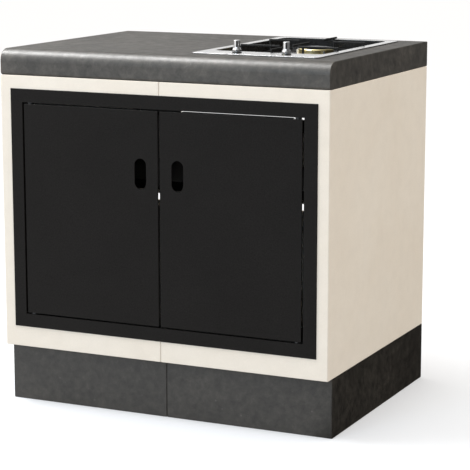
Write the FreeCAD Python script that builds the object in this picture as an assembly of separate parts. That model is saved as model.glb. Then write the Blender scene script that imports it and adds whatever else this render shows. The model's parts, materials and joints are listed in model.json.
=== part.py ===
import FreeCAD, Part
import math
import os

# Outdoor kitchen burner module: a stone cabinet with two steel doors and a two-burner gas hob.
# Millimetres. X to the right, Y to the back, Z up, origin on the floor under the middle of the box.

V = FreeCAD.Vector
X_AXIS = V(1, 0, 0)
Y_AXIS = V(0, 1, 0)
Z_AXIS = V(0, 0, 1)
ORIGIN = V(0, 0, 0)
PICK_TOLERANCE = 0.01

# Cabinet body
cabinet_width = 900.0
cabinet_depth = 675.0
plinth_height = 150.0
plinth_recess = 32.0
plinth_wall = 40.0
carcass_height = 700.0
carcass_wall = 40.0
carcass_front = 40.0
carcass_floor = 40.0
back_nib_width = 30.0
back_nib_depth = 20.0
back_rail_height = 40.0
stone_arris = 2.0

# Countertop
worktop_thickness = 65.0
bullnose_radius = 30.0
worktop_foot_radius = 8.0
worktop_arris = 2.5

# Plates and bolts that hold the two carcass halves together
tie_length = 110.0
tie_width = 34.0
tie_plate = 4.0
tie_edge = 4.0
tie_bolt_pitch = 60.0
tie_bolt_radius = 4.0
tie_bolt_length = 24.0
tie_bolt_head_radius = 7.0
tie_bolt_head = 5.0
bolt_clearance = 0.1

# Back panels with the ventilation gap between them
back_panel_thickness = 12.0
lower_panel_height = 246.0
vent_gap = 19.6
service_width = 556.0
service_height = 65.0
service_rise = 204.0
service_corner = 12.0
hose_hole_radius = 25.0
hose_bore_radius = 20.0
hose_hole_inset = 110.0
hose_hole_rise = 70.0
grommet_flange_radius = 30.0
grommet_flange = 3.0
grommet_clearance = 0.1
panel_screw_inset = 40.0
panel_screw_radius = 2.2
panel_screw_length = 27.0
panel_screw_head_radius = 4.5
panel_screw_head = 2.5
lower_panel_screws = 2
upper_panel_screws = 3

# Door frame
frame_side_margin = 30.0
frame_top_margin = 33.0
frame_bottom_margin = 53.0
frame_band = 34.0
frame_plate = 3.0
frame_arris = 0.8
liner_wall = 3.0
liner_depth = 35.0
liner_fit = 5.0
frame_screw_rows = 3
frame_screw_inset = 80.0
frame_screw_setback = 18.0
frame_screw_radius = 2.5
frame_screw_length = 30.0
frame_screw_head_radius = 4.5
frame_screw_head = 2.0

# Doors
door_plate = 3.0
door_side_gap = 5.0
door_end_gap = 4.0
meeting_gap = 5.0
door_arris = 0.6
door_fold = 12.0
door_fold_wall = 2.0
fold_relief = 3.0
slot_width = 32.0
slot_height = 76.0
slot_inset = 48.5
slot_drop = 157.0
stiffener_width = 70.0
stiffener_depth = 12.0
stiffener_wall = 2.0
stiffener_end_inset = 60.0

# Hinges: fixed pins in the frame, bushes in blocks on the doors
hinge_inset = 14.0
hinge_setback = 8.0
hinge_block_width = 24.0
hinge_block_depth = 16.0
hinge_block_height = 30.0
pin_radius = 4.0
pin_reach = 22.0
pin_head_radius = 7.0
pin_head = 2.0
pin_collar_radius = 8.0
pin_fit = 0.05
bush_wall = 2.0
bush_flange_radius = 7.5
bush_flange = 3.0
bush_length = 26.0
collar_clearance = 0.1

# Magnetic catch over the meeting edges
catch_width = 110.0
catch_height = 28.0
catch_plate = 3.0
catch_flange = 22.0
magnet_width = 36.0
magnet_height = 14.0
magnet_depth = 6.0
magnet_offset = 30.0
magnet_drop = 8.0
strike_width = 40.0
strike_height = 18.0
strike_plate = 2.0
strike_gap = 0.3

# Shelf and its angle brackets
shelf_rise = 375.0
shelf_setback = 250.0
shelf_back_gap = 43.0
shelf_sheet = 2.0
shelf_lip = 24.0
shelf_end_gap = 1.0
bracket_leg = 25.0
bracket_wall = 3.0
bracket_inset = 12.0

# Hob plate and the hole it drops into
hob_width = 340.0
hob_right_margin = 64.0
hob_front_margin = 79.0
hob_back_margin = 41.0
hob_corner = 12.0
hob_sheet = 1.5
hob_edge_round = 0.9
gasket_thickness = 1.0
gasket_inset = 2.0
gasket_width = 9.0
cutout_inset = 12.0
cutout_corner = 8.0
control_band = 83.0
hob_rim = 24.0

# Burner tray, base box and clamps under the hob
tray_corner = 22.0
tray_sheet = 1.5
tray_floor_drop = 28.0
tray_flange = 4.5
tray_round = 6.0
base_clearance = 1.0
base_sheet = 1.5
base_drop = 80.0
clamp_rows = 2
clamp_end_inset = 130.0
clamp_width = 20.0
clamp_sheet = 3.0
clamp_tongue = 24.0
clamp_screw_radius = 2.0
clamp_screw_length = 9.0
clamp_screw_head_radius = 4.0
clamp_screw_head = 2.5

# Taps: valve body, spring, collar, stem and knob
knob_spread = 132.0
knob_setback = 49.0
manifold_drop = 55.0
manifold_radius = 8.0
manifold_wall = 1.5
manifold_end = 26.0
valve_width = 26.0
valve_depth = 34.0
valve_top_drop = 14.0
valve_foot_drop = 67.0
valve_bore_radius = 8.2
valve_bore_drop = 44.0
collar_radius = 8.1
collar_height = 5.0
collar_drop = 29.0
spring_radius = 6.2
spring_wire = 0.7
spring_turns = 4.5
spring_gap = 0.1
stem_radius = 4.0
stem_tail = 8.0
stem_fit = 0.05
stem_shoulder_radius = 6.0
stem_shoulder = 2.0
stem_engagement = 14.0
stem_hole_radius = 6.6
bezel_radius = 12.0
bezel_height = 2.0
push_travel = 3.0
push_reserve = 0.5
knob_radius = 11.0
knob_lip = 2.5
grip_radius = 8.2
knob_bell_height = 8.0
bell_waist_share = 0.3
bell_waist_rise = 0.5
knob_height = 25.0
grip_round = 1.5
pointer_width = 3.5
pointer_height = 11.0
pointer_depth = 1.2
pointer_top_inset = 3.0
pointer_turn = 26.0

# Burners
burner_inset = 135.0
front_ring_radius = 23.0
rear_ring_radius = 45.0
front_cup_radius = 15.0
rear_cup_radius = 32.0
cup_flange = 3.0
cup_flange_lip = 3.0
cup_depth = 13.0
cup_wall = 4.0
cup_clearance = 0.4
jet_radius = 2.0
ring_height = 14.0
ring_wall = 13.0
ring_crest = 2.0
port_width = 2.0
port_height = 5.0
port_depth = 5.0
port_rise = 5.0
front_port_count = 20
rear_port_count = 40
cap_lip = 3.5
cap_thickness = 2.5
cap_dome = 1.5
cap_spigot = 4.0
cap_clearance = 0.3
injector_radius = 8.0
injector_height = 23.0
tube_radius = 4.0
tube_wall = 1.0
tube_bend = 16.0
tube_socket = 4.0
tube_fit = 0.05
tube_drop = 49.0
electrode_radius = 3.0
electrode_gap = 5.0
electrode_top_drop = 5.0
electrode_tail = 14.0
electrode_collar_radius = 5.0
electrode_collar = 2.0
thermocouple_radius = 2.5
thermocouple_angle = 135.0
probe_clearance = 0.3

# Gas inlet
inlet_offset = 48.0
inlet_block = 24.0
inlet_thread_radius = 10.48
inlet_thread_length = 20.0
inlet_end_drop = 112.0
inlet_bore_radius = 7.0
inlet_hole_radius = 12.0

# Pan support
support_side_inset = 12.0
support_front_inset = 22.0
support_rear_inset = 12.0
bar_width = 5.0
bar_height = 5.0
support_top_rise = 9.0
finger_clearance = 2.0
rear_finger_overhang = 3.0
foot_radius = 5.0
foot_height = 2.0

# Levels and edges that follow from the sizes above
half_width = cabinet_width / 2
front = (frame_plate - cabinet_depth) / 2
back = front + cabinet_depth
face = front - frame_plate
carcass_z0 = plinth_height
carcass_z1 = carcass_z0 + carcass_height
floor_z = carcass_z0 + carcass_floor
worktop_z = carcass_z1 + worktop_thickness
inner_x = half_width - carcass_wall
panel_y = back - back_panel_thickness
lower_panel_z1 = floor_z + lower_panel_height
upper_panel_z0 = lower_panel_z1 + vent_gap

frame_x = half_width - frame_side_margin
frame_z0 = carcass_z0 + frame_bottom_margin
frame_z1 = carcass_z1 - frame_top_margin
open_x = frame_x - frame_band
open_z0 = frame_z0 + frame_band
open_z1 = frame_z1 - frame_band
masonry_x = open_x + liner_wall + liner_fit
masonry_z0 = open_z0 - liner_wall - liner_fit
masonry_z1 = open_z1 + liner_wall + liner_fit
frame_screw_y = front + frame_screw_setback

lintel_y = front + carcass_front
rail_y = panel_y - back_nib_depth
lintel_tie_z = (masonry_z1 + carcass_z1) / 2
rail_tie_z = carcass_z1 - back_rail_height / 2

door_x0 = meeting_gap / 2
door_x1 = open_x - door_side_gap
door_z0 = open_z0 + door_end_gap
door_z1 = open_z1 - door_end_gap
door_back = face + door_plate
slot_x = door_x0 + slot_inset
slot_z = door_z1 - slot_drop
hinge_x = door_x1 - hinge_inset
hinge_y = door_back + hinge_setback

magnet_front = door_back + strike_plate + strike_gap
catch_front = magnet_front + magnet_depth
magnet_z1 = open_z1 - magnet_drop

shelf_top = floor_z + shelf_rise
shelf_y0 = front + shelf_setback
shelf_y1 = panel_y - shelf_back_gap

hob_x1 = half_width - hob_right_margin
hob_x0 = hob_x1 - hob_width
hob_y0 = front + hob_front_margin
hob_y1 = back - hob_back_margin
hob_x = (hob_x0 + hob_x1) / 2
hob_under = worktop_z + gasket_thickness
hob_top = hob_under + hob_sheet
well_x0 = hob_x0 + hob_rim
well_x1 = hob_x1 - hob_rim
well_y0 = hob_y0 + control_band
well_y1 = hob_y1 - hob_rim
tray_floor = worktop_z - tray_floor_drop
tray_under = tray_floor - tray_sheet
base_inset = cutout_inset + base_clearance
base_z0 = worktop_z - base_drop

knob_y = hob_y0 + knob_setback
knob_places = {"left": hob_x - knob_spread / 2, "right": hob_x + knob_spread / 2}
manifold_z = worktop_z - manifold_drop
valve_z1 = worktop_z - valve_top_drop
valve_z0 = worktop_z - valve_foot_drop
valve_bore_z = worktop_z - valve_bore_drop
collar_z = worktop_z - collar_drop
bezel_top = hob_top + bezel_height
knob_z = bezel_top + push_travel + push_reserve
tube_z = worktop_z - tube_drop

cup_top = tray_floor + cup_flange
cup_z0 = tray_floor - cup_depth
ring_top = cup_top + ring_height
burner_places = {
    "front": well_y0 + burner_inset,
    "rear": well_y1 - burner_inset,
}
ring_radii = {"front": front_ring_radius, "rear": rear_ring_radius}
cup_radii = {"front": front_cup_radius, "rear": rear_cup_radius}
port_counts = {"front": front_port_count, "rear": rear_port_count}
tube_sources = {"front": "right", "rear": "left"}

inlet_x = knob_places["right"] + inlet_offset
inlet_z = worktop_z - inlet_end_drop

support_x0 = well_x0 + support_side_inset
support_x1 = well_x1 - support_side_inset
support_y0 = well_y0 + support_front_inset
support_y1 = well_y1 - support_rear_inset
support_top = worktop_z + support_top_rise
support_under = support_top - bar_height
frame_z = tray_floor + foot_height
frame_sides = (support_x0 + bar_width / 2, support_x1 - bar_width / 2)
middle_row = (burner_places["front"] + burner_places["rear"]) / 2
frame_rows = (support_y0 + bar_width / 2, middle_row, support_y1 - bar_width / 2)


# General shapes
def box(x0, x1, y0, y1, z0, z1):
    corner = V(min(x0, x1), min(y0, y1), min(z0, z1))
    return Part.makeBox(abs(x1 - x0), abs(y1 - y0), abs(z1 - z0), corner)


def rod(start, axis, radius, length):
    return Part.makeCylinder(radius, length, start, axis)


def post(x, y, z0, z1, radius):
    return rod(V(x, y, min(z0, z1)), Z_AXIS, radius, abs(z1 - z0))


def joined(shapes):
    return shapes[0].multiFuse(shapes[1:]).removeSplitter()


def welded(shapes):
    return shapes[0].multiFuse(shapes[1:])


def mirrored(shape):
    return shape.mirror(ORIGIN, X_AXIS)


def both_sides(shapes):
    return Part.makeCompound(shapes + [mirrored(shape) for shape in shapes])


def rounded_block(x0, x1, y0, y1, z0, z1, corner):
    block = box(x0, x1, y0, y1, z0, z1)
    upright = [edge for edge in block.Edges if edge.BoundBox.ZLength > (z1 - z0) / 2]
    return block.makeFillet(corner, upright)


def edges_on_plane(shape, axis, place):
    spans = {"x": ("XMin", "XMax"), "y": ("YMin", "YMax"), "z": ("ZMin", "ZMax")}[axis]
    found = []
    for edge in shape.Edges:
        reach = [abs(getattr(edge.BoundBox, span) - place) for span in spans]
        if max(reach) < PICK_TOLERANCE:
            found.append(edge)
    return found


def level_edges(shape, z):
    return edges_on_plane(shape, "z", z)


def screw(start, axis, radius, length, head_radius, head):
    shank = rod(start, axis, radius, length)
    cap = rod(start - axis * head, axis, head_radius, head)
    return shank.fuse(cap)


def stadium_y(x, z, width, height, y0, y1):
    half = (height - width) / 2
    depth = y1 - y0
    middle = box(x - width / 2, x + width / 2, y0, y1, z - half, z + half)
    ends = [rod(V(x, y0, z + side * half), Y_AXIS, width / 2, depth) for side in (-1, 1)]
    return joined([middle] + ends)


def row(first, last, count):
    return [first + (last - first) * index / (count - 1) for index in range(count)]


# Plinth halves
def plinth_half():
    wall_front = front + plinth_recess
    wall = joined([
        box(0, half_width, wall_front, wall_front + plinth_wall, 0, plinth_height),
        box(half_width - plinth_wall, half_width, wall_front, back, 0, plinth_height),
        box(0, half_width, back - plinth_wall, back, 0, plinth_height),
    ])
    on_face = edges_on_plane(wall, "y", wall_front)
    upright = [edge for edge in on_face if edge.BoundBox.ZLength > plinth_height / 2]
    return wall.makeChamfer(stone_arris, upright)


# Carcass halves, with the holes for the screws and bolts that go into them
def tie_bolt_places():
    x = tie_bolt_pitch / 2
    return [
        (V(x, lintel_y + tie_plate, lintel_tie_z), -Y_AXIS),
        (V(x, rail_y - tie_plate, rail_tie_z), Y_AXIS),
        (V(x, 0, floor_z + tie_plate), -Z_AXIS),
    ]


def tie_bolts():
    bolt = (tie_bolt_radius, tie_bolt_length, tie_bolt_head_radius, tie_bolt_head)
    return [screw(start, axis, *bolt) for start, axis in tie_bolt_places()]


def bolt_holes():
    radius = tie_bolt_radius + bolt_clearance
    length = tie_bolt_length + bolt_clearance
    right = [rod(start, axis, radius, length) for start, axis in tie_bolt_places()]
    return right + [mirrored(hole) for hole in right]


def corner_edges(plate):
    return [edge for edge in plate.Edges if abs(edge.Length - tie_plate) < PICK_TOLERANCE]


def tie_plates():
    reach = tie_length / 2
    half = tie_width / 2
    plates = [
        box(-reach, reach, lintel_y, lintel_y + tie_plate, lintel_tie_z - half, lintel_tie_z + half),
        box(-reach, reach, rail_y - tie_plate, rail_y, rail_tie_z - half, rail_tie_z + half),
        box(-reach, reach, -half, half, floor_z, floor_z + tie_plate),
    ]
    clipped = [plate.makeChamfer(tie_edge, corner_edges(plate)) for plate in plates]
    holes = Part.makeCompound(bolt_holes())
    return Part.makeCompound([plate.cut(holes) for plate in clipped])


def frame_screw_places():
    return [V(open_x, frame_screw_y, z)
            for z in row(open_z0 + frame_screw_inset, open_z1 - frame_screw_inset, frame_screw_rows)]


def panel_screw_places():
    x = inner_x - back_nib_width / 2
    lower = row(floor_z + panel_screw_inset, lower_panel_z1 - panel_screw_inset, lower_panel_screws)
    upper = row(upper_panel_z0 + panel_screw_inset, carcass_z1 - panel_screw_inset, upper_panel_screws)
    return [V(x, back - panel_screw_head, z) for z in lower + upper]


def frame_screws():
    size = (frame_screw_radius, frame_screw_length, frame_screw_head_radius, frame_screw_head)
    return [screw(place, X_AXIS, *size) for place in frame_screw_places()]


def panel_screws():
    size = (panel_screw_radius, panel_screw_length, panel_screw_head_radius, panel_screw_head)
    return [screw(place, -Y_AXIS, *size) for place in panel_screw_places()]


def screw_holes():
    frame_size = (frame_screw_radius + bolt_clearance, frame_screw_length + bolt_clearance)
    panel_size = (panel_screw_radius + bolt_clearance, panel_screw_length + bolt_clearance)
    holes = [rod(place, X_AXIS, *frame_size) for place in frame_screw_places()]
    for place in panel_screw_places():
        holes.append(rod(place, -Y_AXIS, *panel_size))
        head_start = place + Y_AXIS * panel_screw_head
        holes.append(rod(head_start, -Y_AXIS, panel_screw_head_radius + bolt_clearance, panel_screw_head))
    return holes


def carcass_half():
    body = joined([
        box(inner_x, half_width, front, back, carcass_z0, carcass_z1),
        box(masonry_x, half_width, front, lintel_y, carcass_z0, carcass_z1),
        box(0, half_width, front, lintel_y, masonry_z1, carcass_z1),
        box(0, half_width, front, lintel_y, carcass_z0, masonry_z0),
        box(0, half_width, front, back, carcass_z0, floor_z),
        box(inner_x - back_nib_width, inner_x, rail_y, panel_y, floor_z, carcass_z1),
        box(0, inner_x, rail_y, panel_y, carcass_z1 - back_rail_height, carcass_z1),
    ])
    on_face = edges_on_plane(body, "y", front)
    outer = [edge for edge in on_face if edge.BoundBox.XMin > half_width - PICK_TOLERANCE]
    seam = [edge for edge in on_face if edge.BoundBox.XMax < PICK_TOLERANCE]
    body = body.makeChamfer(stone_arris, outer + seam)
    return body.cut(Part.makeCompound(screw_holes() + bolt_holes()))


# Back panels and the hose grommet
def hose_place():
    return inner_x - hose_hole_inset, floor_z + hose_hole_rise


def back_panel_lower():
    x, z = hose_place()
    panel = box(-inner_x, inner_x, panel_y, back, floor_z, lower_panel_z1)
    hole = rod(V(x, panel_y, z), Y_AXIS, hose_hole_radius, back_panel_thickness)
    return panel.cut(both_sides(screw_holes())).cut(hole)


def back_panel_upper():
    panel = box(-inner_x, inner_x, panel_y, back, upper_panel_z0, carcass_z1)
    opening_z0 = upper_panel_z0 + service_rise
    half = service_width / 2
    opening = box(-half, half, panel_y, back, opening_z0, opening_z0 + service_height)
    through = [edge for edge in opening.Edges if edge.BoundBox.YLength > back_panel_thickness / 2]
    opening = opening.makeFillet(service_corner, through)
    return panel.cut(both_sides(screw_holes())).cut(opening)


def hose_grommet():
    x, z = hose_place()
    inside = panel_y - grommet_flange
    sleeve = rod(V(x, inside, z), Y_AXIS, hose_hole_radius - grommet_clearance, back - inside)
    flange = rod(V(x, inside, z), Y_AXIS, grommet_flange_radius, grommet_flange)
    bore = rod(V(x, inside, z), Y_AXIS, hose_bore_radius, back - inside)
    return sleeve.fuse(flange).cut(bore).removeSplitter()


# Countertop with a rounded front edge and the hole for the hob
def top_edges(slab, y):
    on_side = edges_on_plane(slab, "y", y)
    return [edge for edge in on_side if edge.BoundBox.ZMin > worktop_z - PICK_TOLERANCE]


def foot_edges(slab, y):
    on_side = edges_on_plane(slab, "y", y)
    return [edge for edge in on_side if edge.BoundBox.ZMax < carcass_z1 + PICK_TOLERANCE]


def countertop():
    slab = box(-half_width, half_width, front, back, carcass_z1, worktop_z)
    slab = slab.makeFillet(bullnose_radius, top_edges(slab, front))
    slab = slab.makeFillet(worktop_foot_radius, foot_edges(slab, front))
    top_back = top_edges(slab, back)
    ends = edges_on_plane(slab, "x", -half_width) + edges_on_plane(slab, "x", half_width)
    ends = [edge for edge in ends if edge.BoundBox.ZMax > carcass_z1 + worktop_arris]
    ends = [edge for edge in ends if edge.BoundBox.YMin < back - worktop_arris]
    slab = slab.makeFillet(worktop_arris, ends + top_back)
    return slab.cut(hob_block(cutout_inset, carcass_z1, worktop_z, cutout_corner))


# Door frame: a flat band on the stone and a liner that lines the opening
def door_frame():
    liner_back = front + liner_depth
    band = box(-frame_x, frame_x, face, front, frame_z0, frame_z1)
    band = band.makeChamfer(frame_arris, edges_on_plane(band, "y", face))
    liner_x = open_x + liner_wall
    liner = box(-liner_x, liner_x, front, liner_back, open_z0 - liner_wall, open_z1 + liner_wall)
    opening = box(-open_x, open_x, face, liner_back, open_z0, open_z1)
    frame = band.fuse(liner).cut(opening).removeSplitter()
    pin_hole_radius = pin_radius + pin_fit
    holes = [post(hinge_x, hinge_y, open_z1, open_z1 + liner_wall, pin_hole_radius),
             post(hinge_x, hinge_y, open_z0 - liner_wall, open_z0, pin_hole_radius)]
    return frame.cut(both_sides(holes + screw_holes()))


def hinge_pins():
    upper = joined([
        post(hinge_x, hinge_y, door_z1 - pin_reach, open_z1 + liner_wall, pin_radius),
        post(hinge_x, hinge_y, open_z1 + liner_wall, open_z1 + liner_wall + pin_head, pin_head_radius),
        post(hinge_x, hinge_y, door_z1 + collar_clearance, open_z1, pin_collar_radius),
    ])
    lower = joined([
        post(hinge_x, hinge_y, open_z0 - liner_wall, door_z0 + pin_reach, pin_radius),
        post(hinge_x, hinge_y, open_z0 - liner_wall - pin_head, open_z0 - liner_wall, pin_head_radius),
        post(hinge_x, hinge_y, open_z0, door_z0 - collar_clearance, pin_collar_radius),
    ])
    return both_sides([upper, lower])


# Doors: a plate folded at top and bottom, with a finger slot, a stiffener and two hinge blocks
def bush_ranges():
    upper = (door_z1, door_z1 - bush_flange, door_z1 - bush_length)
    lower = (door_z0, door_z0 + bush_flange, door_z0 + bush_length)
    return [upper, lower]


def door_bushes():
    bushes = []
    for outer_z, seat_z, end_z in bush_ranges():
        flange = post(hinge_x, hinge_y, outer_z, seat_z, bush_flange_radius)
        sleeve = post(hinge_x, hinge_y, seat_z, end_z, pin_radius + bush_wall)
        bore = post(hinge_x, hinge_y, outer_z, end_z, pin_radius + pin_fit)
        bushes.append(flange.fuse(sleeve).cut(bore).removeSplitter())
    return Part.makeCompound(bushes)


def stiffener():
    middle = (door_x0 + door_x1) / 2
    half = stiffener_width / 2
    z0 = door_z0 + stiffener_end_inset
    z1 = door_z1 - stiffener_end_inset
    channel = box(middle - half, middle + half, door_back, door_back + stiffener_depth, z0, z1)
    groove = box(middle - half + stiffener_wall, middle + half - stiffener_wall,
                 door_back, door_back + stiffener_depth - stiffener_wall, z0, z1)
    return channel.cut(groove)


def door():
    plate = box(door_x0, door_x1, face, door_back, door_z0, door_z1)
    plate = plate.makeChamfer(door_arris, edges_on_plane(plate, "y", face))
    plate = plate.cut(stadium_y(slot_x, slot_z, slot_width, slot_height, face, door_back))
    half = hinge_block_width / 2
    fold_x0 = catch_width / 2 + fold_relief
    fold_x1 = hinge_x - half - fold_relief
    fold_back = door_back + door_fold
    parts = [plate, stiffener(),
             box(fold_x0, fold_x1, door_back, fold_back, door_z0, door_z0 + door_fold_wall),
             box(fold_x0, fold_x1, door_back, fold_back, door_z1 - door_fold_wall, door_z1)]
    for outer_z, seat_z, end_z in bush_ranges():
        block_end = seat_z + math.copysign(hinge_block_height, end_z - seat_z)
        block_back = door_back + hinge_block_depth
        block = box(hinge_x - half, hinge_x + half, door_back, block_back, seat_z, block_end)
        hole = post(hinge_x, hinge_y, seat_z, end_z, pin_radius + bush_wall + pin_fit)
        parts.append(block.cut(hole))
    return joined(parts)


# Magnetic catch under the top of the liner, and the strikes on the doors
def catch_bracket():
    half = catch_width / 2
    upright = box(-half, half, catch_front, catch_front + catch_plate, open_z1 - catch_height, open_z1)
    flange = box(-half, half, catch_front, catch_front + catch_flange, open_z1 - catch_plate, open_z1)
    return joined([upright, flange])


def catch_magnet():
    half = magnet_width / 2
    return box(magnet_offset - half, magnet_offset + half, magnet_front, catch_front,
               magnet_z1 - magnet_height, magnet_z1)


def strike():
    half = strike_width / 2
    middle_z = magnet_z1 - magnet_height / 2
    return box(magnet_offset - half, magnet_offset + half, door_back, door_back + strike_plate,
               middle_z - strike_height / 2, middle_z + strike_height / 2)


# Shelf on two angle brackets
def shelf():
    end_x = inner_x - shelf_end_gap
    plate = box(-end_x, end_x, shelf_y0, shelf_y1, shelf_top - shelf_sheet, shelf_top)
    front_lip = box(-end_x, end_x, shelf_y0, shelf_y0 + shelf_sheet, shelf_top - shelf_lip, shelf_top)
    back_lip = box(-end_x, end_x, shelf_y1 - shelf_sheet, shelf_y1, shelf_top - shelf_lip, shelf_top)
    return joined([plate, front_lip, back_lip])


def shelf_bracket():
    z1 = shelf_top - shelf_sheet
    y0 = shelf_y0 + bracket_inset
    y1 = shelf_y1 - bracket_inset
    flange = box(inner_x - bracket_leg, inner_x, y0, y1, z1 - bracket_wall, z1)
    leg = box(inner_x - bracket_wall, inner_x, y0, y1, z1 - bracket_leg, z1)
    return joined([flange, leg])


# Hob plate, gasket, tray, base box and clamps
def hob_block(inset, z0, z1, corner):
    return rounded_block(hob_x0 + inset, hob_x1 - inset, hob_y0 + inset, hob_y1 - inset, z0, z1, corner)


def well_block(grow, z0, z1):
    corner = tray_corner + grow
    return rounded_block(well_x0 - grow, well_x1 + grow, well_y0 - grow, well_y1 + grow, z0, z1, corner)


def hob_plate():
    plate = hob_block(0, hob_under, hob_top, hob_corner)
    plate = plate.makeFillet(hob_edge_round, level_edges(plate, hob_top))
    plate = plate.cut(well_block(0, hob_under, hob_top))
    holes = [post(x, knob_y, hob_under, hob_top, stem_hole_radius) for x in knob_places.values()]
    return plate.cut(Part.makeCompound(holes))


def hob_gasket():
    outer = hob_block(gasket_inset, worktop_z, hob_under, hob_corner)
    inner = hob_block(gasket_inset + gasket_width, worktop_z, hob_under, hob_corner)
    return outer.cut(inner)


def burner_tray():
    flange = well_block(tray_flange, hob_under - tray_sheet, hob_under)
    pan = well_block(0, tray_under, hob_under)
    pan = pan.makeFillet(tray_round, level_edges(pan, tray_under))
    hollow = well_block(-tray_sheet, tray_floor, hob_under)
    hollow = hollow.makeFillet(tray_round - tray_sheet, level_edges(hollow, tray_floor))
    tray = flange.fuse(pan).cut(hollow).removeSplitter()
    holes = []
    for name, y in burner_places.items():
        holes.append(post(hob_x, y, tray_under, tray_floor, cup_radii[name] + cup_clearance))
        for x, probe_y, radius in probe_places(name):
            holes.append(post(x, probe_y, tray_under, tray_floor, radius + probe_clearance))
    return tray.cut(Part.makeCompound(holes))


def hob_base_box():
    outer = hob_block(base_inset, base_z0, hob_under, hob_corner)
    hollow = hob_block(base_inset + base_sheet, base_z0 + base_sheet, hob_under, hob_corner - base_sheet)
    inlet_hole = post(inlet_x, knob_y, base_z0, base_z0 + base_sheet, inlet_hole_radius)
    screw_bores = [clamp_screw_hole(side, y) for side in (-1, 1) for y in clamp_rows_y()]
    return outer.cut(hollow).cut(inlet_hole).cut(Part.makeCompound(screw_bores))


def clamp_rows_y():
    return row(hob_y0 + clamp_end_inset, hob_y1 - clamp_end_inset, clamp_rows)


def clamp_wall_x(side):
    return hob_x0 + base_inset if side < 0 else hob_x1 - base_inset


def clamp_screw_start(side, y):
    height = (base_z0 + carcass_z1) / 2
    return V(clamp_wall_x(side) + side * clamp_sheet, y, height)


def clamp_screw_hole(side, y):
    start = clamp_screw_start(side, y)
    return rod(start, X_AXIS * -side, clamp_screw_radius + bolt_clearance, clamp_screw_length)


def hob_clamp(side, y):
    wall = clamp_wall_x(side)
    half = clamp_width / 2
    leg = box(wall, wall + side * clamp_sheet, y - half, y + half, base_z0, carcass_z1)
    tongue = box(wall, wall + side * clamp_tongue, y - half, y + half, carcass_z1 - clamp_sheet, carcass_z1)
    return joined([leg, tongue]).cut(clamp_screw_hole(side, y))


def hob_clamp_screw(side, y):
    return screw(clamp_screw_start(side, y), X_AXIS * -side, clamp_screw_radius, clamp_screw_length,
                 clamp_screw_head_radius, clamp_screw_head)


# Taps
def valve_body(x):
    half_w = valve_width / 2
    half_d = valve_depth / 2
    body = box(x - half_w, x + half_w, knob_y - half_d, knob_y + half_d, valve_z0, valve_z1)
    pipe = rod(V(x - half_w, knob_y, manifold_z), X_AXIS, manifold_radius + tube_fit, valve_width)
    bore = post(x, knob_y, valve_bore_z, valve_z1, valve_bore_radius)
    socket = rod(V(x, knob_y + half_d - tube_socket, tube_z), Y_AXIS, tube_radius + tube_fit, tube_socket)
    return body.cut(pipe).cut(bore).cut(socket)


def gas_manifold():
    x0 = knob_places["left"] - manifold_end
    x1 = inlet_x - inlet_block / 2
    pipe = rod(V(x0, knob_y, manifold_z), X_AXIS, manifold_radius, x1 - x0)
    bore = rod(V(x0 + manifold_wall, knob_y, manifold_z), X_AXIS, manifold_radius - manifold_wall, x1 - x0)
    return pipe.cut(bore)


def gas_inlet_elbow():
    half = inlet_block / 2
    middle = V(inlet_x, knob_y, manifold_z)
    block = Part.makeBox(inlet_block, inlet_block, inlet_block, middle - V(half, half, half))
    tail = post(inlet_x, knob_y, inlet_z, manifold_z - half, inlet_thread_radius)
    bore_down = post(inlet_x, knob_y, inlet_z, manifold_z, inlet_bore_radius)
    bore_side = rod(V(inlet_x - half, knob_y, manifold_z), X_AXIS, manifold_radius - manifold_wall, half)
    relief_radius = inlet_thread_radius - manifold_wall
    relief_z = inlet_z + inlet_thread_length
    relief = post(inlet_x, knob_y, relief_z, manifold_z - half, inlet_thread_radius)
    core = post(inlet_x, knob_y, relief_z, manifold_z - half, relief_radius)
    tail = tail.cut(relief.cut(core))
    return joined([block, tail]).cut(bore_down).cut(bore_side)


def valve_spring(x):
    z0 = valve_bore_z + spring_wire + spring_gap
    z1 = collar_z - spring_wire - spring_gap
    path = Part.Wire(Part.makeHelix((z1 - z0) / spring_turns, z1 - z0, spring_radius))
    section = Part.Wire(Part.Circle(V(spring_radius, 0, 0), Y_AXIS, spring_wire).toShape())
    coil = path.makePipeShell([section], True, True)
    coil.translate(V(x, knob_y, z0))
    return coil


def stem_collar(x):
    ring = post(x, knob_y, collar_z, collar_z + collar_height, collar_radius)
    return ring.cut(post(x, knob_y, collar_z, collar_z + collar_height, stem_radius + stem_fit))


def valve_stem(x):
    shoulder_z = collar_z + collar_height
    return joined([
        post(x, knob_y, collar_z - stem_tail, knob_z + stem_engagement, stem_radius),
        post(x, knob_y, shoulder_z, shoulder_z + stem_shoulder, stem_shoulder_radius),
    ])


def knob_bezel(x):
    ring = post(x, knob_y, hob_top, bezel_top, bezel_radius)
    return ring.cut(post(x, knob_y, hob_top, bezel_top, stem_hole_radius))


def pointer(x):
    half = pointer_width / 2
    z1 = knob_height - pointer_top_inset
    slot = box(-half, half, -grip_radius, pointer_depth - grip_radius, z1 - pointer_height, z1)
    inlay = slot.common(post(0, 0, 0, knob_height, grip_radius))
    inlay.rotate(ORIGIN, Z_AXIS, pointer_turn)
    inlay.translate(V(x, knob_y, knob_z))
    return inlay


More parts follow.
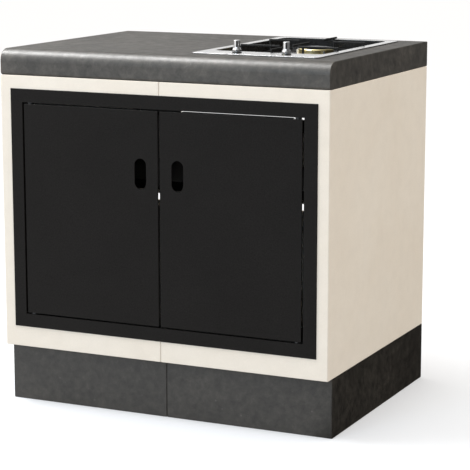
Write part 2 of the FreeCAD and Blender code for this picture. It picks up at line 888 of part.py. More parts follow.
def knob(x):
    waist_radius = grip_radius + (knob_radius - grip_radius) * bell_waist_share
    waist_height = knob_lip + (knob_bell_height - knob_lip) * bell_waist_rise
    low = V(knob_radius, 0, knob_lip)
    high = V(grip_radius, 0, knob_bell_height)
    outline = Part.Wire([
        Part.LineSegment(ORIGIN, V(knob_radius, 0, 0)).toShape(),
        Part.LineSegment(V(knob_radius, 0, 0), low).toShape(),
        Part.Arc(low, V(waist_radius, 0, waist_height), high).toShape(),
        Part.LineSegment(high, V(grip_radius, 0, knob_height)).toShape(),
        Part.LineSegment(V(grip_radius, 0, knob_height), V(0, 0, knob_height)).toShape(),
        Part.LineSegment(V(0, 0, knob_height), ORIGIN).toShape(),
    ])
    body = Part.Face(outline).revolve(ORIGIN, Z_AXIS, 360)
    body = body.makeFillet(grip_round, level_edges(body, knob_height))
    body.translate(V(x, knob_y, knob_z))
    bore = post(x, knob_y, knob_z, knob_z + stem_engagement, stem_radius + stem_fit)
    return body.cut(bore).cut(pointer(x))


# Burners
def probe_places(name):
    radius = ring_radii[name] + electrode_gap + electrode_radius
    y = burner_places[name]
    angle = math.radians(thermocouple_angle)
    return [
        (hob_x - radius, y, electrode_radius),
        (hob_x - radius * math.cos(angle), y - radius * math.sin(angle), thermocouple_radius),
    ]


def burner_cup(name):
    y = burner_places[name]
    radius = cup_radii[name]
    flange = post(hob_x, y, tray_floor, cup_top, ring_radii[name] + cup_flange_lip)
    bowl = post(hob_x, y, cup_z0, cup_top, radius)
    hollow = post(hob_x, y, cup_z0 + cup_wall, cup_top, radius - cup_wall)
    jet = post(hob_x, y, cup_z0, cup_z0 + cup_wall, jet_radius)
    return flange.fuse(bowl).cut(hollow).cut(jet).removeSplitter()


def burner_ring(name):
    y = burner_places[name]
    radius = ring_radii[name]
    wall = post(hob_x, y, cup_top, ring_top, radius)
    wall = wall.makeChamfer(ring_crest, level_edges(wall, ring_top))
    bore = post(hob_x, y, cup_top, ring_top, radius - ring_wall)
    port_z = cup_top + port_rise
    half = port_width / 2
    outer_x = hob_x + radius
    port = box(outer_x - port_depth, outer_x + port_depth, y - half, y + half, port_z, port_z + port_height)
    count = port_counts[name]
    ports = []
    for index in range(count):
        turned = port.copy()
        turned.rotate(V(hob_x, y, 0), Z_AXIS, 360 * index / count)
        ports.append(turned)
    return wall.cut(bore).cut(Part.makeCompound(ports))


def burner_cap(name):
    y = burner_places[name]
    radius = ring_radii[name] - cap_lip
    lid = post(hob_x, y, ring_top, ring_top + cap_thickness, radius)
    lid_top = V(hob_x, y, ring_top + cap_thickness)
    dome = Part.makeCone(radius, radius - ring_wall, cap_dome, lid_top, Z_AXIS)
    spigot = post(hob_x, y, ring_top - cap_spigot, ring_top, ring_radii[name] - ring_wall - cap_clearance)
    return joined([lid, dome, spigot])


def injector(name):
    y = burner_places[name]
    body = post(hob_x, y, cup_z0 - injector_height, cup_z0, injector_radius)
    side = tube_side(name)
    start = V(hob_x + side * (injector_radius - tube_socket), y, tube_z)
    socket = rod(start, X_AXIS * side, tube_radius + tube_fit, tube_socket + tube_fit)
    return body.cut(socket)


def tube_side(name):
    return 1 if knob_places[tube_sources[name]] > hob_x else -1


def gas_tube(name):
    side = tube_side(name)
    x = knob_places[tube_sources[name]]
    y = burner_places[name]
    start = V(x, knob_y + valve_depth / 2 - tube_socket, tube_z)
    end = V(hob_x + side * (injector_radius - tube_socket), y, tube_z)
    bend_in = V(x, y - tube_bend, tube_z)
    bend_out = V(x - side * tube_bend, y, tube_z)
    offset = tube_bend * (1 - math.sqrt(0.5))
    bend_middle = V(x - side * offset, y - offset, tube_z)
    path = Part.Wire([
        Part.LineSegment(start, bend_in).toShape(),
        Part.Arc(bend_in, bend_middle, bend_out).toShape(),
        Part.LineSegment(bend_out, end).toShape(),
    ])
    sections = [Part.Circle(start, Y_AXIS, radius) for radius in (tube_radius, tube_radius - tube_wall)]
    outer, inner = [path.makePipeShell([Part.Wire(ring.toShape())], True, False) for ring in sections]
    return outer.cut(inner)


def probe(x, y, radius):
    return joined([
        post(x, y, tray_under - electrode_tail, ring_top - electrode_top_drop, radius),
        post(x, y, tray_floor, tray_floor + electrode_collar, electrode_collar_radius),
    ])


# Pan support: a low frame with legs and fingers that leave each burner free to lift out
def bar_x(x0, x1, y, z):
    return box(x0, x1, y - bar_width / 2, y + bar_width / 2, z, z + bar_height)


def bar_y(x, y0, y1, z):
    return box(x - bar_width / 2, x + bar_width / 2, y0, y1, z, z + bar_height)


def support_leg(x, y):
    half = bar_width / 2
    return box(x - half, x + half, y - half, y + half, frame_z, support_top)


def pan_support():
    reach = {name: ring_radii[name] + finger_clearance for name in burner_places}
    bars = [bar_x(support_x0, support_x1, y, frame_z) for y in frame_rows]
    bars += [bar_y(x, support_y0, support_y1, frame_z) for x in frame_sides]
    for name, y in burner_places.items():
        bars.append(bar_x(support_x0, hob_x - reach[name], y, support_under))
        bars.append(bar_x(hob_x + reach[name], support_x1, y, support_under))
        bars += [support_leg(x, y) for x in frame_sides]
    stops = {name: (y - reach[name], y + reach[name]) for name, y in burner_places.items()}
    bars.append(bar_y(hob_x, support_y0, stops["front"][0], support_under))
    bars.append(bar_y(hob_x, stops["front"][1], stops["rear"][0], support_under))
    bars.append(bar_y(hob_x, stops["rear"][1], well_y1 + rear_finger_overhang, support_under))
    bars += [support_leg(hob_x, y) for y in frame_rows]
    return welded(bars)


def support_feet():
    places = [(x, y) for x in frame_sides for y in frame_rows]
    return Part.makeCompound([post(x, y, tray_floor, frame_z, foot_radius) for x, y in places])


def at_each_clamp(make):
    return Part.makeCompound([make(side, y) for side in (-1, 1) for y in clamp_rows_y()])


def at_each_knob(make):
    return Part.makeCompound([make(x) for x in knob_places.values()])


def probes(which):
    return Part.makeCompound([probe(*probe_places(name)[which]) for name in burner_places])


# Every piece under its own name
pieces = {
    "plinth_left": mirrored(plinth_half()),
    "plinth_right": plinth_half(),
    "carcass_left": mirrored(carcass_half()),
    "carcass_right": carcass_half(),
    "carcass_ties": tie_plates(),
    "carcass_bolts": both_sides(tie_bolts()),
    "back_panel_lower": back_panel_lower(),
    "back_panel_upper": back_panel_upper(),
    "back_panel_screws": both_sides(panel_screws()),
    "hose_grommet": hose_grommet(),
    "countertop": countertop(),
    "door_frame": door_frame(),
    "frame_screws": both_sides(frame_screws()),
    "hinge_pins": hinge_pins(),
    "catch_bracket": catch_bracket(),
    "catch_magnets": both_sides([catch_magnet()]),
    "shelf": shelf(),
    "shelf_brackets": both_sides([shelf_bracket()]),
    "left_door": mirrored(door()),
    "right_door": door(),
    "left_door_bushes": mirrored(door_bushes()),
    "right_door_bushes": door_bushes(),
    "left_strike": mirrored(strike()),
    "right_strike": strike(),
    "hob_plate": hob_plate(),
    "hob_gasket": hob_gasket(),
    "burner_tray": burner_tray(),
    "hob_base_box": hob_base_box(),
    "hob_clamps": at_each_clamp(hob_clamp),
    "hob_clamp_screws": at_each_clamp(hob_clamp_screw),
    "knob_bezels": at_each_knob(knob_bezel),
    "gas_manifold": gas_manifold(),
    "gas_inlet_elbow": gas_inlet_elbow(),
    "electrodes": probes(0),
    "thermocouples": probes(1),
    "pan_support": pan_support(),
    "pan_support_feet": support_feet(),
}
for side, x in knob_places.items():
    pieces[side + "_valve_body"] = valve_body(x)
    pieces[side + "_valve_spring"] = valve_spring(x)
    pieces[side + "_stem_collar"] = stem_collar(x)
    pieces[side + "_valve_stem"] = valve_stem(x)
    pieces[side + "_knob"] = knob(x)
    pieces[side + "_pointer"] = pointer(x)
for name in burner_places:
    pieces[name + "_burner_cup"] = burner_cup(name)
    pieces[name + "_burner_ring"] = burner_ring(name)
    pieces[name + "_burner_cap"] = burner_cap(name)
    pieces[name + "_injector"] = injector(name)
    pieces[name + "_gas_tube"] = gas_tube(name)

os.makedirs("parts", exist_ok=True)
for name, shape in pieces.items():
    shape.exportStep("parts/" + name + ".step")
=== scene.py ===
import json
import math

import bmesh
import bpy
from mathutils import Matrix, Vector


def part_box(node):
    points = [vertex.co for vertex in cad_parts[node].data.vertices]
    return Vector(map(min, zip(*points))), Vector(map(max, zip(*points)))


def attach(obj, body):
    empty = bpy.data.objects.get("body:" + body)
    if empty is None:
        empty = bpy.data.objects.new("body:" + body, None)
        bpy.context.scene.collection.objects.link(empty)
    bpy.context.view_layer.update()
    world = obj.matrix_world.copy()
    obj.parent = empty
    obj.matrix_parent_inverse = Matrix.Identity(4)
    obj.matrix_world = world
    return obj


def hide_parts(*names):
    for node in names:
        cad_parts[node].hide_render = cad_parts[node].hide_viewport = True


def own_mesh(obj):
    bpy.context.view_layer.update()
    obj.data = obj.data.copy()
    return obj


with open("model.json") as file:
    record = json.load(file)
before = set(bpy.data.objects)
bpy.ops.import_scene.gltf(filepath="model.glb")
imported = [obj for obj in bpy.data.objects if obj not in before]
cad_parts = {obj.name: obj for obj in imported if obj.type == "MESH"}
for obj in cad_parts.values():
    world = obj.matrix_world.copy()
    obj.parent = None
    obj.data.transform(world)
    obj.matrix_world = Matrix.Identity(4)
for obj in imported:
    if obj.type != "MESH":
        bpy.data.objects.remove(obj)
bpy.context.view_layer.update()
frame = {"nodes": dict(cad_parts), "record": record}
nodes = frame["nodes"]
scene = bpy.context.scene
scene.view_settings.view_transform = "Standard"

MM = 0.001

# Camera at the photograph's viewpoint
CAMERA_PLACE = (2.0607, -4.2911, 1.3047)
CAMERA_TURN = 25.136
CAMERA_DIP = 10.574
CAMERA_LENS = 140.97
SENSOR = 36.0

# Studio light: a warm sky, a cool lamp in front and a lamp over the left that shows in no reflection
SKY_LIGHT = (1.242, 1.139, 1.022)
LAMPS = {
    "key": {"place": (-1.3, -7.7, 3.2), "aim": (0.0, 0.0, 0.5), "size": (3.6, 3.6), "power": 155.0,
            "colour": (0.55, 0.775, 1.0), "glossy": True},
    "ceiling": {"place": (-1.55, -0.63, 3.5), "aim": (-0.1, -0.3, 0.9), "size": (1.8, 0.9), "power": 85.0,
                "colour": (1.0, 0.985, 0.96), "glossy": False},
}

# Floor: what it throws back at the part, and what shows of it to the camera and in reflections
FLOOR_BOUNCE = 0.30
FLOOR_SHOWN = (0.598, 0.640, 0.702)
FLOOR_GLOW = 0.265
FLOOR_REACH = 60.0
FLOOR_DROP = 0.5 * MM

# Cards that show in reflections only: dim ones beside the part and a bright one for the worktop's nose
CARD_NEAR = Vector((0.50, -0.6, 0.0))
CARD_FAR = Vector((0.50, 3.4, 0.0))
CARD_SPLIT = Vector((0.0, 0.0, 0.45))
CARDS = {
    "right_low_card": {"tone": 0.02, "edge": (CARD_NEAR, CARD_FAR), "rise": CARD_SPLIT},
    "right_high_card": {"tone": 0.17, "edge": (CARD_NEAR + CARD_SPLIT, CARD_FAR + CARD_SPLIT),
                        "rise": Vector((0.0, 0.0, 1.35))},
    "right_floor_card": {"tone": 0.02, "edge": (CARD_NEAR, CARD_FAR), "rise": Vector((-0.1, 0.0, 0.0))},
    "rear_card": {"tone": 0.25, "edge": (Vector((-4.0, 3.4, 1.7)), Vector((0.5, 3.4, 1.7))),
                  "rise": Vector((0.0, 0.0, 3.3))},
    "knob_card": {"tone": 0.01, "edge": (Vector((-0.10, -2.2, 0.62)), Vector((1.90, -1.2, 0.62))),
                  "rise": Vector((0.0, 0.0, 0.70))},
    "nose_card": {"tone": 50.0, "edge": (Vector((-2.85, -1.08, 3.5)), Vector((-0.75, -1.08, 3.5))),
                  "rise": Vector((0.0, 0.9, 0.0))},
}

# Finishes: tones from dark to light, and roughness from smooth to rough
NOISE_LOW = 0.3
NOISE_HIGH = 0.7
CREAM_TONES = ((0.830, 0.785, 0.710), (0.865, 0.835, 0.775))
CREAM_PIT = (0.42, 0.36, 0.28)
# Painted shade: the plinth's stone is the worktop's stone with its tones darkened, for the low plinth under
# the worktop's overhang
STONE_TONES = {"dark_stone": (0.0620, 0.0583, 0.0520), "plinth_stone_painted_shade": (0.0370, 0.0346, 0.0305)}
STONE_CLOUD = ((0.28, 0.75), (0.52, 1.0), (0.76, 1.35))
STONE_BLOTCH = ((0.28, 0.42), (0.55, 1.0), (0.80, 1.75))
STONE_FLECK = (0.17, 0.165, 0.155)
STONE_ROUGH = (0.43, 0.55)
DOOR_TONES = ((0.0080, 0.0073, 0.0068), (0.0100, 0.0092, 0.0087))
ZINC_TONES = ((0.50, 0.51, 0.53), (0.64, 0.65, 0.66))
STEEL_TONES = ((0.70, 0.695, 0.685), (0.81, 0.805, 0.795))
STEEL_ROUGH = (0.14, 0.22)
STEEL_BRUSH = (12.0, 1400.0, 1400.0)
# Painted shade: for the hob plate's finish, its rounded edges and sides, which face less upwards, are
# darkened to this share to dim their highlights; 1.0 paints none
STEEL_PAINTED_EDGE_SHADE = {"stainless": 1.0, "hob_steel_painted_edge_shade": 0.35}
STEEL_PAINTED_SHADE_UP = (0.80, 0.97)
CHROME_TONES = ((0.70, 0.70, 0.71), (0.82, 0.82, 0.82))
BRASS_TONES = ((0.30, (0.66, 0.52, 0.24)), (0.50, (0.86, 0.74, 0.40)), (0.75, (0.93, 0.84, 0.54)))
ALUMINIUM_TONES = ((0.50, 0.50, 0.50), (0.66, 0.66, 0.66))
ENAMEL_TONES = ((0.010, 0.010, 0.010), (0.016, 0.016, 0.016))
ENAMEL_SPECK = (0.22, 0.23, 0.25)
IRON_TONES = ((0.010, 0.010, 0.010), (0.017, 0.017, 0.017))
MOULDED = {
    "black_plastic": {"tones": ((0.010, 0.010, 0.011), (0.016, 0.016, 0.017)), "rough": (0.40, 0.52),
                      "grain": 1600.0, "relief": 0.20},
    "black_rubber": {"tones": ((0.016, 0.016, 0.016), (0.026, 0.026, 0.025)), "rough": (0.72, 0.86),
                     "grain": 900.0, "relief": 0.30},
    # Painted light: a pale grey for the hob gasket, to lighten the line of shade along the hob plate's edge
    "grey_seal_painted_light": {"tones": ((0.17, 0.17, 0.165), (0.23, 0.23, 0.225)), "rough": (0.62, 0.76),
                  "grain": 900.0, "relief": 0.20},
    # Painted shade: an even black for the hinge pins and door bushes, so that no glint shows in the dark door
    # gaps
    "black_zinc_painted_shade": {"tones": ((0.012, 0.012, 0.013), (0.020, 0.020, 0.021)), "rough": (0.40, 0.52),
                   "grain": 900.0, "relief": 0.12},
    "magnet": {"tones": ((0.045, 0.045, 0.047), (0.070, 0.070, 0.072)), "rough": (0.55, 0.68),
               "grain": 700.0, "relief": 0.25},
    "white_ceramic": {"tones": ((0.74, 0.71, 0.64), (0.84, 0.82, 0.77)), "rough": (0.22, 0.34),
                      "grain": 400.0, "relief": 0.08},
}

# Finishes that differ from the part's record, several of them painted light and shade
# Painted shade: the hinge pins and door bushes are made black so that no glint shows in the door gaps
OWN_LOOKS = {
    # Painted shade: the plinth's stone is the worktop's stone darkened
    "plinth_left": "plinth_stone_painted_shade", "plinth_right": "plinth_stone_painted_shade", "hinge_pins": "black_zinc_painted_shade",
    # Painted light: the hob gasket is made pale grey to lighten the line of shade along the plate's edge
    "left_door_bushes": "black_zinc_painted_shade", "right_door_bushes": "black_zinc_painted_shade", "hob_gasket": "grey_seal_painted_light",
    # Painted shade: the hob plate's rounded edges and sides are darkened
    "hob_plate": "hob_steel_painted_edge_shade",
}

# Softened edges of CAD nodes, in millimetres
SOFT_EDGES = {
    "plinth_left": 1.5, "plinth_right": 1.5, "carcass_left": 1.5, "carcass_right": 1.5,
    "back_panel_lower": 1.0, "back_panel_upper": 1.0,
    "door_frame": 0.35, "left_door": 0.35, "right_door": 0.35,
    "shelf": 0.5, "shelf_brackets": 0.6, "catch_bracket": 0.6, "hob_base_box": 0.3, "pan_support": 0.9,
    "carcass_ties": 0.6, "hob_clamps": 0.5, "left_strike": 0.4, "right_strike": 0.4, "catch_magnets": 0.5,
}
SOFT_SEGMENTS = 2
SOFT_FROM = math.radians(40)
FLAT_WITHIN = math.radians(0.5)
SHARP_FROM = math.radians(35)
WELD_NODE = 0.01 * MM
WELD_POINTS = 0.001 * MM

# Fixings: heads as rows of a share of the radius, a share of the height below the top, and whether six-sided
FIXINGS = {"back_panel_screws": "socket", "frame_screws": "socket", "hob_clamp_screws": "socket",
           "carcass_bolts": "hexagon"}
HEADS = {
    "socket": ((1.0, 1.0, False), (1.0, 0.45, False), (0.94, 0.18, False), (0.80, 0.0, False),
               (0.42, 0.0, True), (0.42, 0.75, True)),
    "hexagon": ((1.0, 1.0, True), (1.0, 0.16, True), (0.97, 0.0, False)),
}
TIP_SHARE = 0.45
ROUND_SIDES = 24

# Valve springs
SPRING_WIRE = 0.7 * MM
SPRING_TURNS = 4.5
SPRING_STEPS = 20
SPRING_SIDES = 8

# Spark pins: a path in shares of the rise and of the reach towards the burner
PIN_RADIUS = 1.0 * MM
PIN_RISE = 3.0 * MM
PIN_REACH = 4.0 * MM
PIN_PATH = ((0.0, 0.0), (1.0, 0.0), (1.6, 0.0), (1.95, 0.35), (2.05, 1.0))
PIN_SIDES = 10

# Rubber beads of the doors, with profiles in millimetres
SEAL_FROM_MEETING = 57.0 * MM
SEAL_FROM_HINGE = 24.5 * MM
SEAL_SETBACK = 11.5 * MM
SEAL_TAPER = 3.0 * MM
SEAL_END_SHARE = 0.5
SEAL_PROFILE = ((-2.5, -0.3), (2.5, -0.3), (2.5, 0.6), (1.6, 1.35),
                (0.5, 1.6), (-0.5, 1.6), (-1.6, 1.35), (-2.5, 0.6))
DOOR_SHEET = 3.0 * MM
MEETING_END = 4.0 * MM
MEETING_LOW_TOP = 306.0 * MM
MEETING_HIGH_FOOT = 183.0 * MM
MEETING_PROFILE = ((-6.0, -0.3), (0.0, -0.3), (0.0, 6.4), (-0.8, 7.2), (-5.2, 7.2), (-6.0, 6.4))


# Materials
def grey(value):
    return (value, value, value, 1.0)


class Paint:
    """A principled material, with short calls for the nodes that feed it."""

    def __init__(self, name, **uniform):
        self.material = bpy.data.materials.new(name)
        self.material.use_nodes = True
        tree = self.material.node_tree
        self.nodes = tree.nodes
        self.links = tree.links
        self.shader = self.nodes["Principled BSDF"]
        coordinates = self.nodes.new("ShaderNodeTexCoord")
        self.place = coordinates.outputs["Object"]
        self.facing = coordinates.outputs["Normal"]
        for socket, value in uniform.items():
            self.shader.inputs[socket.replace("_", " ")].default_value = value

    def feed(self, socket, value):
        if isinstance(value, bpy.types.NodeSocket):
            self.links.new(value, socket)
        else:
            socket.default_value = value

    def node(self, kind, inputs, **settings):
        made = self.nodes.new(kind)
        for key, value in settings.items():
            setattr(made, key, value)
        for key, value in inputs.items():
            self.feed(made.inputs[key], value)
        return made

    def noise(self, scale, detail=4.0, rough=0.55, warp=0.0, place=None):
        inputs = {"Vector": place or self.place, "Scale": scale, "Detail": detail,
                  "Roughness": rough, "Distortion": warp}
        return self.node("ShaderNodeTexNoise", inputs).outputs["Fac"]

    def cells(self, scale):
        return self.node("ShaderNodeTexVoronoi", {"Vector": self.place, "Scale": scale}).outputs

    def channel(self, colour, name):
        return self.node("ShaderNodeSeparateColor", {"Color": colour}).outputs[name]

    def ramp(self, factor, *stops):
        made = self.node("ShaderNodeValToRGB", {"Fac": factor})
        elements = made.color_ramp.elements
        while len(elements) < len(stops):
            elements.new(0.5)
        for element, (position, colour) in zip(elements, stops):
            element.position = position
            element.color = grey(colour) if isinstance(colour, float) else (*colour, 1.0)
        return made.outputs["Color"]

    def tint(self, factor, low, high):
        return self.ramp(factor, (NOISE_LOW, low), (NOISE_HIGH, high))

    def span(self, factor, low, high, to_low, to_high):
        inputs = {"Value": factor, "From Min": low, "From Max": high, "To Min": to_low, "To Max": to_high}
        return self.node("ShaderNodeMapRange", inputs).outputs["Result"]

    def spread(self, factor, to_low, to_high):
        return self.span(factor, NOISE_LOW, NOISE_HIGH, to_low, to_high)

    def maths(self, operation, first, second):
        return self.node("ShaderNodeMath", {0: first, 1: second}, operation=operation).outputs["Value"]

    def blend(self, factor, first, second, mode="MIX"):
        made = self.node("ShaderNodeMix", {"Factor": factor}, data_type="RGBA", blend_type=mode)
        for socket, value in zip((made.inputs[6], made.inputs[7]), (first, second)):
            self.feed(socket, (*value, 1.0) if isinstance(value, tuple) else value)
        return made.outputs[2]

    def times(self, colour, *others):
        for other in others:
            colour = self.blend(1.0, colour, other, "MULTIPLY")
        return colour

    def bump(self, height, strength, depth, under=None):
        inputs = {"Height": height, "Strength": strength, "Distance": depth}
        if under:
            inputs["Normal"] = under
        return self.node("ShaderNodeBump", inputs).outputs["Normal"]

    def surface(self, colour, rough, normal):
        for socket, value in (("Base Color", colour), ("Roughness", rough), ("Normal", normal)):
            self.feed(self.shader.inputs[socket], value)
        return self.material


def cream_stone(name):
    paint = Paint(name, IOR=1.45, Specular_IOR_Level=0.30)
    cloud = paint.tint(paint.noise(2.4, 5.0, 0.6, 0.4), *CREAM_TONES)
    mottle = paint.tint(paint.noise(26.0, 7.0, 0.62), 0.955, 1.0)
    grain = paint.ramp(paint.noise(850.0, 3.0), (0.25, 0.94), (0.60, 1.0))
    pores = paint.span(paint.cells(330.0)["Distance"], 0.03, 0.16, 0.0, 1.0)
    few = paint.span(paint.noise(60.0, 2.0), 0.52, 0.66, 0.0, 1.0)
    pits = paint.maths("MAXIMUM", pores, paint.maths("SUBTRACT", 1.0, few))
    colour = paint.blend(paint.span(pits, 0.0, 1.0, 0.22, 0.0), paint.times(cloud, mottle, grain), CREAM_PIT)
    rough = paint.spread(paint.noise(90.0, 4.0), 0.58, 0.74)
    normal = paint.bump(paint.noise(620.0, 4.0, 0.6), 0.16, 0.0006)
    normal = paint.bump(pits, 0.25, 0.0008, normal)
    return paint.surface(colour, rough, normal)


def grey_stone(name):
    paint = Paint(name, IOR=1.5, Specular_IOR_Level=0.50)
    tones = [(stop, tuple(share * part for part in STONE_TONES[name])) for stop, share in STONE_CLOUD]
    cloud = paint.ramp(paint.noise(7.0, 6.0, 0.62, 0.5), *tones)
    blotch = paint.ramp(paint.noise(52.0, 8.0, 0.70, 0.3), *STONE_BLOTCH)
    grain = paint.tint(paint.noise(700.0, 4.0, 0.65), 0.78, 1.15)
    cells = paint.cells(58.0)
    near = paint.span(cells["Distance"], 0.10, 0.17, 1.0, 0.0)
    lot = paint.channel(cells["Color"], "Red")
    flecks = paint.maths("MULTIPLY", near, paint.span(lot, 0.86, 0.96, 0.0, 0.35))
    colour = paint.blend(flecks, paint.times(cloud, blotch, grain), STONE_FLECK)
    rough = paint.spread(paint.noise(38.0, 6.0, 0.6), *STONE_ROUGH)
    normal = paint.bump(paint.noise(420.0, 5.0, 0.6), 0.22, 0.0008)
    normal = paint.bump(paint.noise(24.0, 3.0), 0.10, 0.0015, normal)
    return paint.surface(colour, rough, normal)


def black_steel(name):
    paint = Paint(name, IOR=1.5, Specular_IOR_Level=0.10)
    tone = paint.tint(paint.noise(5.0, 5.0, 0.6), *DOOR_TONES)
    fleck = paint.ramp(paint.noise(1500.0, 2.0), (0.35, 0.80), (0.65, 1.20))
    coat = paint.tint(paint.noise(280.0, 3.0), 0.60, 1.40)
    rough = paint.spread(paint.noise(140.0, 4.0), 0.52, 0.64)
    normal = paint.bump(paint.noise(1300.0, 2.0, 0.5), 0.30, 0.0003)
    return paint.surface(paint.times(tone, fleck, coat), rough, normal)


def zinc_steel(name):
    paint = Paint(name, Metallic=1.0)
    spangle = paint.channel(paint.cells(110.0)["Color"], "Green")
    tone = paint.ramp(spangle, (0.0, ZINC_TONES[0]), (1.0, ZINC_TONES[1]))
    dulling = paint.tint(paint.noise(18.0, 6.0), 0.86, 1.0)
    rough = paint.span(spangle, 0.0, 1.0, 0.30, 0.46)
    normal = paint.bump(paint.noise(500.0, 3.0), 0.10, 0.0003)
    return paint.surface(paint.times(tone, dulling), rough, normal)


def brushed_steel(name):
    paint = Paint(name, Metallic=1.0)
    stretched = paint.node("ShaderNodeMapping", {"Vector": paint.place, "Scale": STEEL_BRUSH})
    lines = paint.noise(1.0, 4.0, 0.7, 0.0, stretched.outputs["Vector"])
    smear = paint.noise(9.0, 5.0, 0.6)
    tone = paint.ramp(lines, (0.25, STEEL_TONES[0]), (0.75, STEEL_TONES[1]))
    colour = paint.times(tone, paint.tint(smear, 0.93, 1.0))
    # Painted shade: surfaces facing less upwards, the rounded edges and sides, are darkened to dim their
    # highlights
    edge = STEEL_PAINTED_EDGE_SHADE[name]
    if edge < 1.0:
        up = paint.node("ShaderNodeSeparateXYZ", {"Vector": paint.facing}).outputs["Z"]
        colour = paint.times(colour, paint.ramp(up, (STEEL_PAINTED_SHADE_UP[0], edge), (STEEL_PAINTED_SHADE_UP[1], 1.0)))
    line_rough = paint.span(lines, 0.2, 0.8, *STEEL_ROUGH)
    rough = paint.maths("ADD", line_rough, paint.spread(smear, 0.0, 0.05))
    return paint.surface(colour, rough, paint.bump(lines, 0.12, 0.0001))


def chrome(name):
    paint = Paint(name, Metallic=1.0)
    smear = paint.noise(140.0, 4.0, 0.6)
    normal = paint.bump(paint.noise(2600.0, 2.0), 0.05, 0.0001)
    return paint.surface(paint.tint(smear, *CHROME_TONES), paint.spread(smear, 0.07, 0.13), normal)


def brass(name):
    paint = Paint(name, Metallic=1.0)
    tarnish = paint.noise(70.0, 6.0, 0.65, 0.4)
    normal = paint.bump(paint.noise(1800.0, 2.0), 0.08, 0.0001)
    return paint.surface(paint.ramp(tarnish, *BRASS_TONES), paint.spread(tarnish, 0.42, 0.30), normal)


def aluminium(name):
    paint = Paint(name, Metallic=1.0)
    cast = paint.noise(480.0, 5.0, 0.65)
    normal = paint.bump(cast, 0.25, 0.0003)
    return paint.surface(paint.tint(cast, *ALUMINIUM_TONES), paint.spread(cast, 0.48, 0.34), normal)


def black_enamel(name):
    paint = Paint(name, IOR=1.5, Specular_IOR_Level=0.22)
    cells = paint.cells(420.0)
    speck = paint.span(cells["Distance"], 0.06, 0.13, 1.0, 0.0)
    lot = paint.channel(cells["Color"], "Blue")
    specks = paint.maths("MULTIPLY", speck, paint.span(lot, 0.80, 0.95, 0.0, 0.30))
    tone = paint.tint(paint.noise(16.0, 5.0), *ENAMEL_TONES)
    rough = paint.spread(paint.noise(60.0, 4.0), 0.20, 0.32)
    normal = paint.bump(paint.noise(190.0, 2.0), 0.06, 0.0004)
    return paint.surface(paint.blend(specks, tone, ENAMEL_SPECK), rough, normal)


def cast_iron(name):
    paint = Paint(name, IOR=1.5, Specular_IOR_Level=0.20)
    crust = paint.noise(900.0, 4.0, 0.6)
    tone = paint.tint(paint.noise(30.0, 5.0), *IRON_TONES)
    colour = paint.times(tone, paint.tint(crust, 0.80, 1.15))
    return paint.surface(colour, paint.spread(crust, 0.46, 0.60), paint.bump(crust, 0.30, 0.0003))


def moulded(name):
    made = MOULDED[name]
    paint = Paint(name, IOR=1.5)
    grain = paint.noise(made["grain"], 3.0, 0.6)
    tone = paint.tint(paint.noise(40.0, 4.0), *made["tones"])
    colour = paint.times(tone, paint.tint(grain, 0.85, 1.1))
    rough = paint.spread(grain, *made["rough"])
    return paint.surface(colour, rough, paint.bump(grain, made["relief"], 0.0003))


MAKERS = {maker.__name__: maker for maker in (cream_stone, black_steel, zinc_steel, chrome, brass, aluminium,
                                              black_enamel, cast_iron)}
MAKERS.update(dict.fromkeys(STONE_TONES, grey_stone))
MAKERS.update(dict.fromkeys(STEEL_PAINTED_EDGE_SHADE, brushed_steel))
MAKERS.update(dict.fromkeys(MOULDED, moulded))
paints = {name: maker(name) for name, maker in MAKERS.items()}
looks = {part["node"]: part["material_slot"] for part in frame["record"]["subparts"]}
looks.update(OWN_LOOKS)


# CAD nodes: a finish for each, and softened edges where the sheet or stone has them
def edge_cleaner():
    group = bpy.data.node_groups.new("edge_cleaner", "GeometryNodeTree")
    group.interface.new_socket("Geometry", in_out="INPUT", socket_type="NodeSocketGeometry")
    group.interface.new_socket("Geometry", in_out="OUTPUT", socket_type="NodeSocketGeometry")
    start = group.nodes.new("NodeGroupInput")
    plain = group.nodes.new("GeometryNodeRemoveAttribute")
    plain.inputs["Name"].default_value = "custom_normal"
    weld = group.nodes.new("GeometryNodeMergeByDistance")
    weld.inputs["Distance"].default_value = WELD_NODE
    end = group.nodes.new("NodeGroupOutput")
    chain = [start, plain, weld, end]
    for before, after in zip(chain, chain[1:]):
        group.links.new(before.outputs["Geometry"], after.inputs["Geometry"])
    return group


cleaner = edge_cleaner()
for name, node in nodes.items():
    node.data.materials.clear()
    node.data.materials.append(paints[looks[name]])
    if name in SOFT_EDGES:
        node.modifiers.new("clean", "NODES").node_group = cleaner
        flat = node.modifiers.new("flat", "DECIMATE")
        flat.decimate_type = "DISSOLVE"
        flat.angle_limit = FLAT_WITHIN
        soft = node.modifiers.new("soft", "BEVEL")
        soft.width = SOFT_EDGES[name] * MM
        soft.segments = SOFT_SEGMENTS
        soft.limit_method = "ANGLE"
        soft.angle_limit = SOFT_FROM
        soft.use_clamp_overlap = False
        node.modifiers.new("normals", "WEIGHTED_NORMAL")


# Extra pieces: fixings with driven heads, wound springs, pins that light the burners and door beads
def skin(rings):
    """Points and faces of a body through rings of equal count, closed at both ends."""
    count = len(rings[0])
    points = [point for ring in rings for point in ring]
    faces = []
    for start in range(0, len(points) - count, count):
        for i in range(count):
            j = (i + 1) % count
            faces.append((start + i, start + j, start + count + j, start + count + i))
    faces.append(tuple(reversed(range(count))))
    faces.append(tuple(range(len(points) - count, len(points))))
    return points, faces


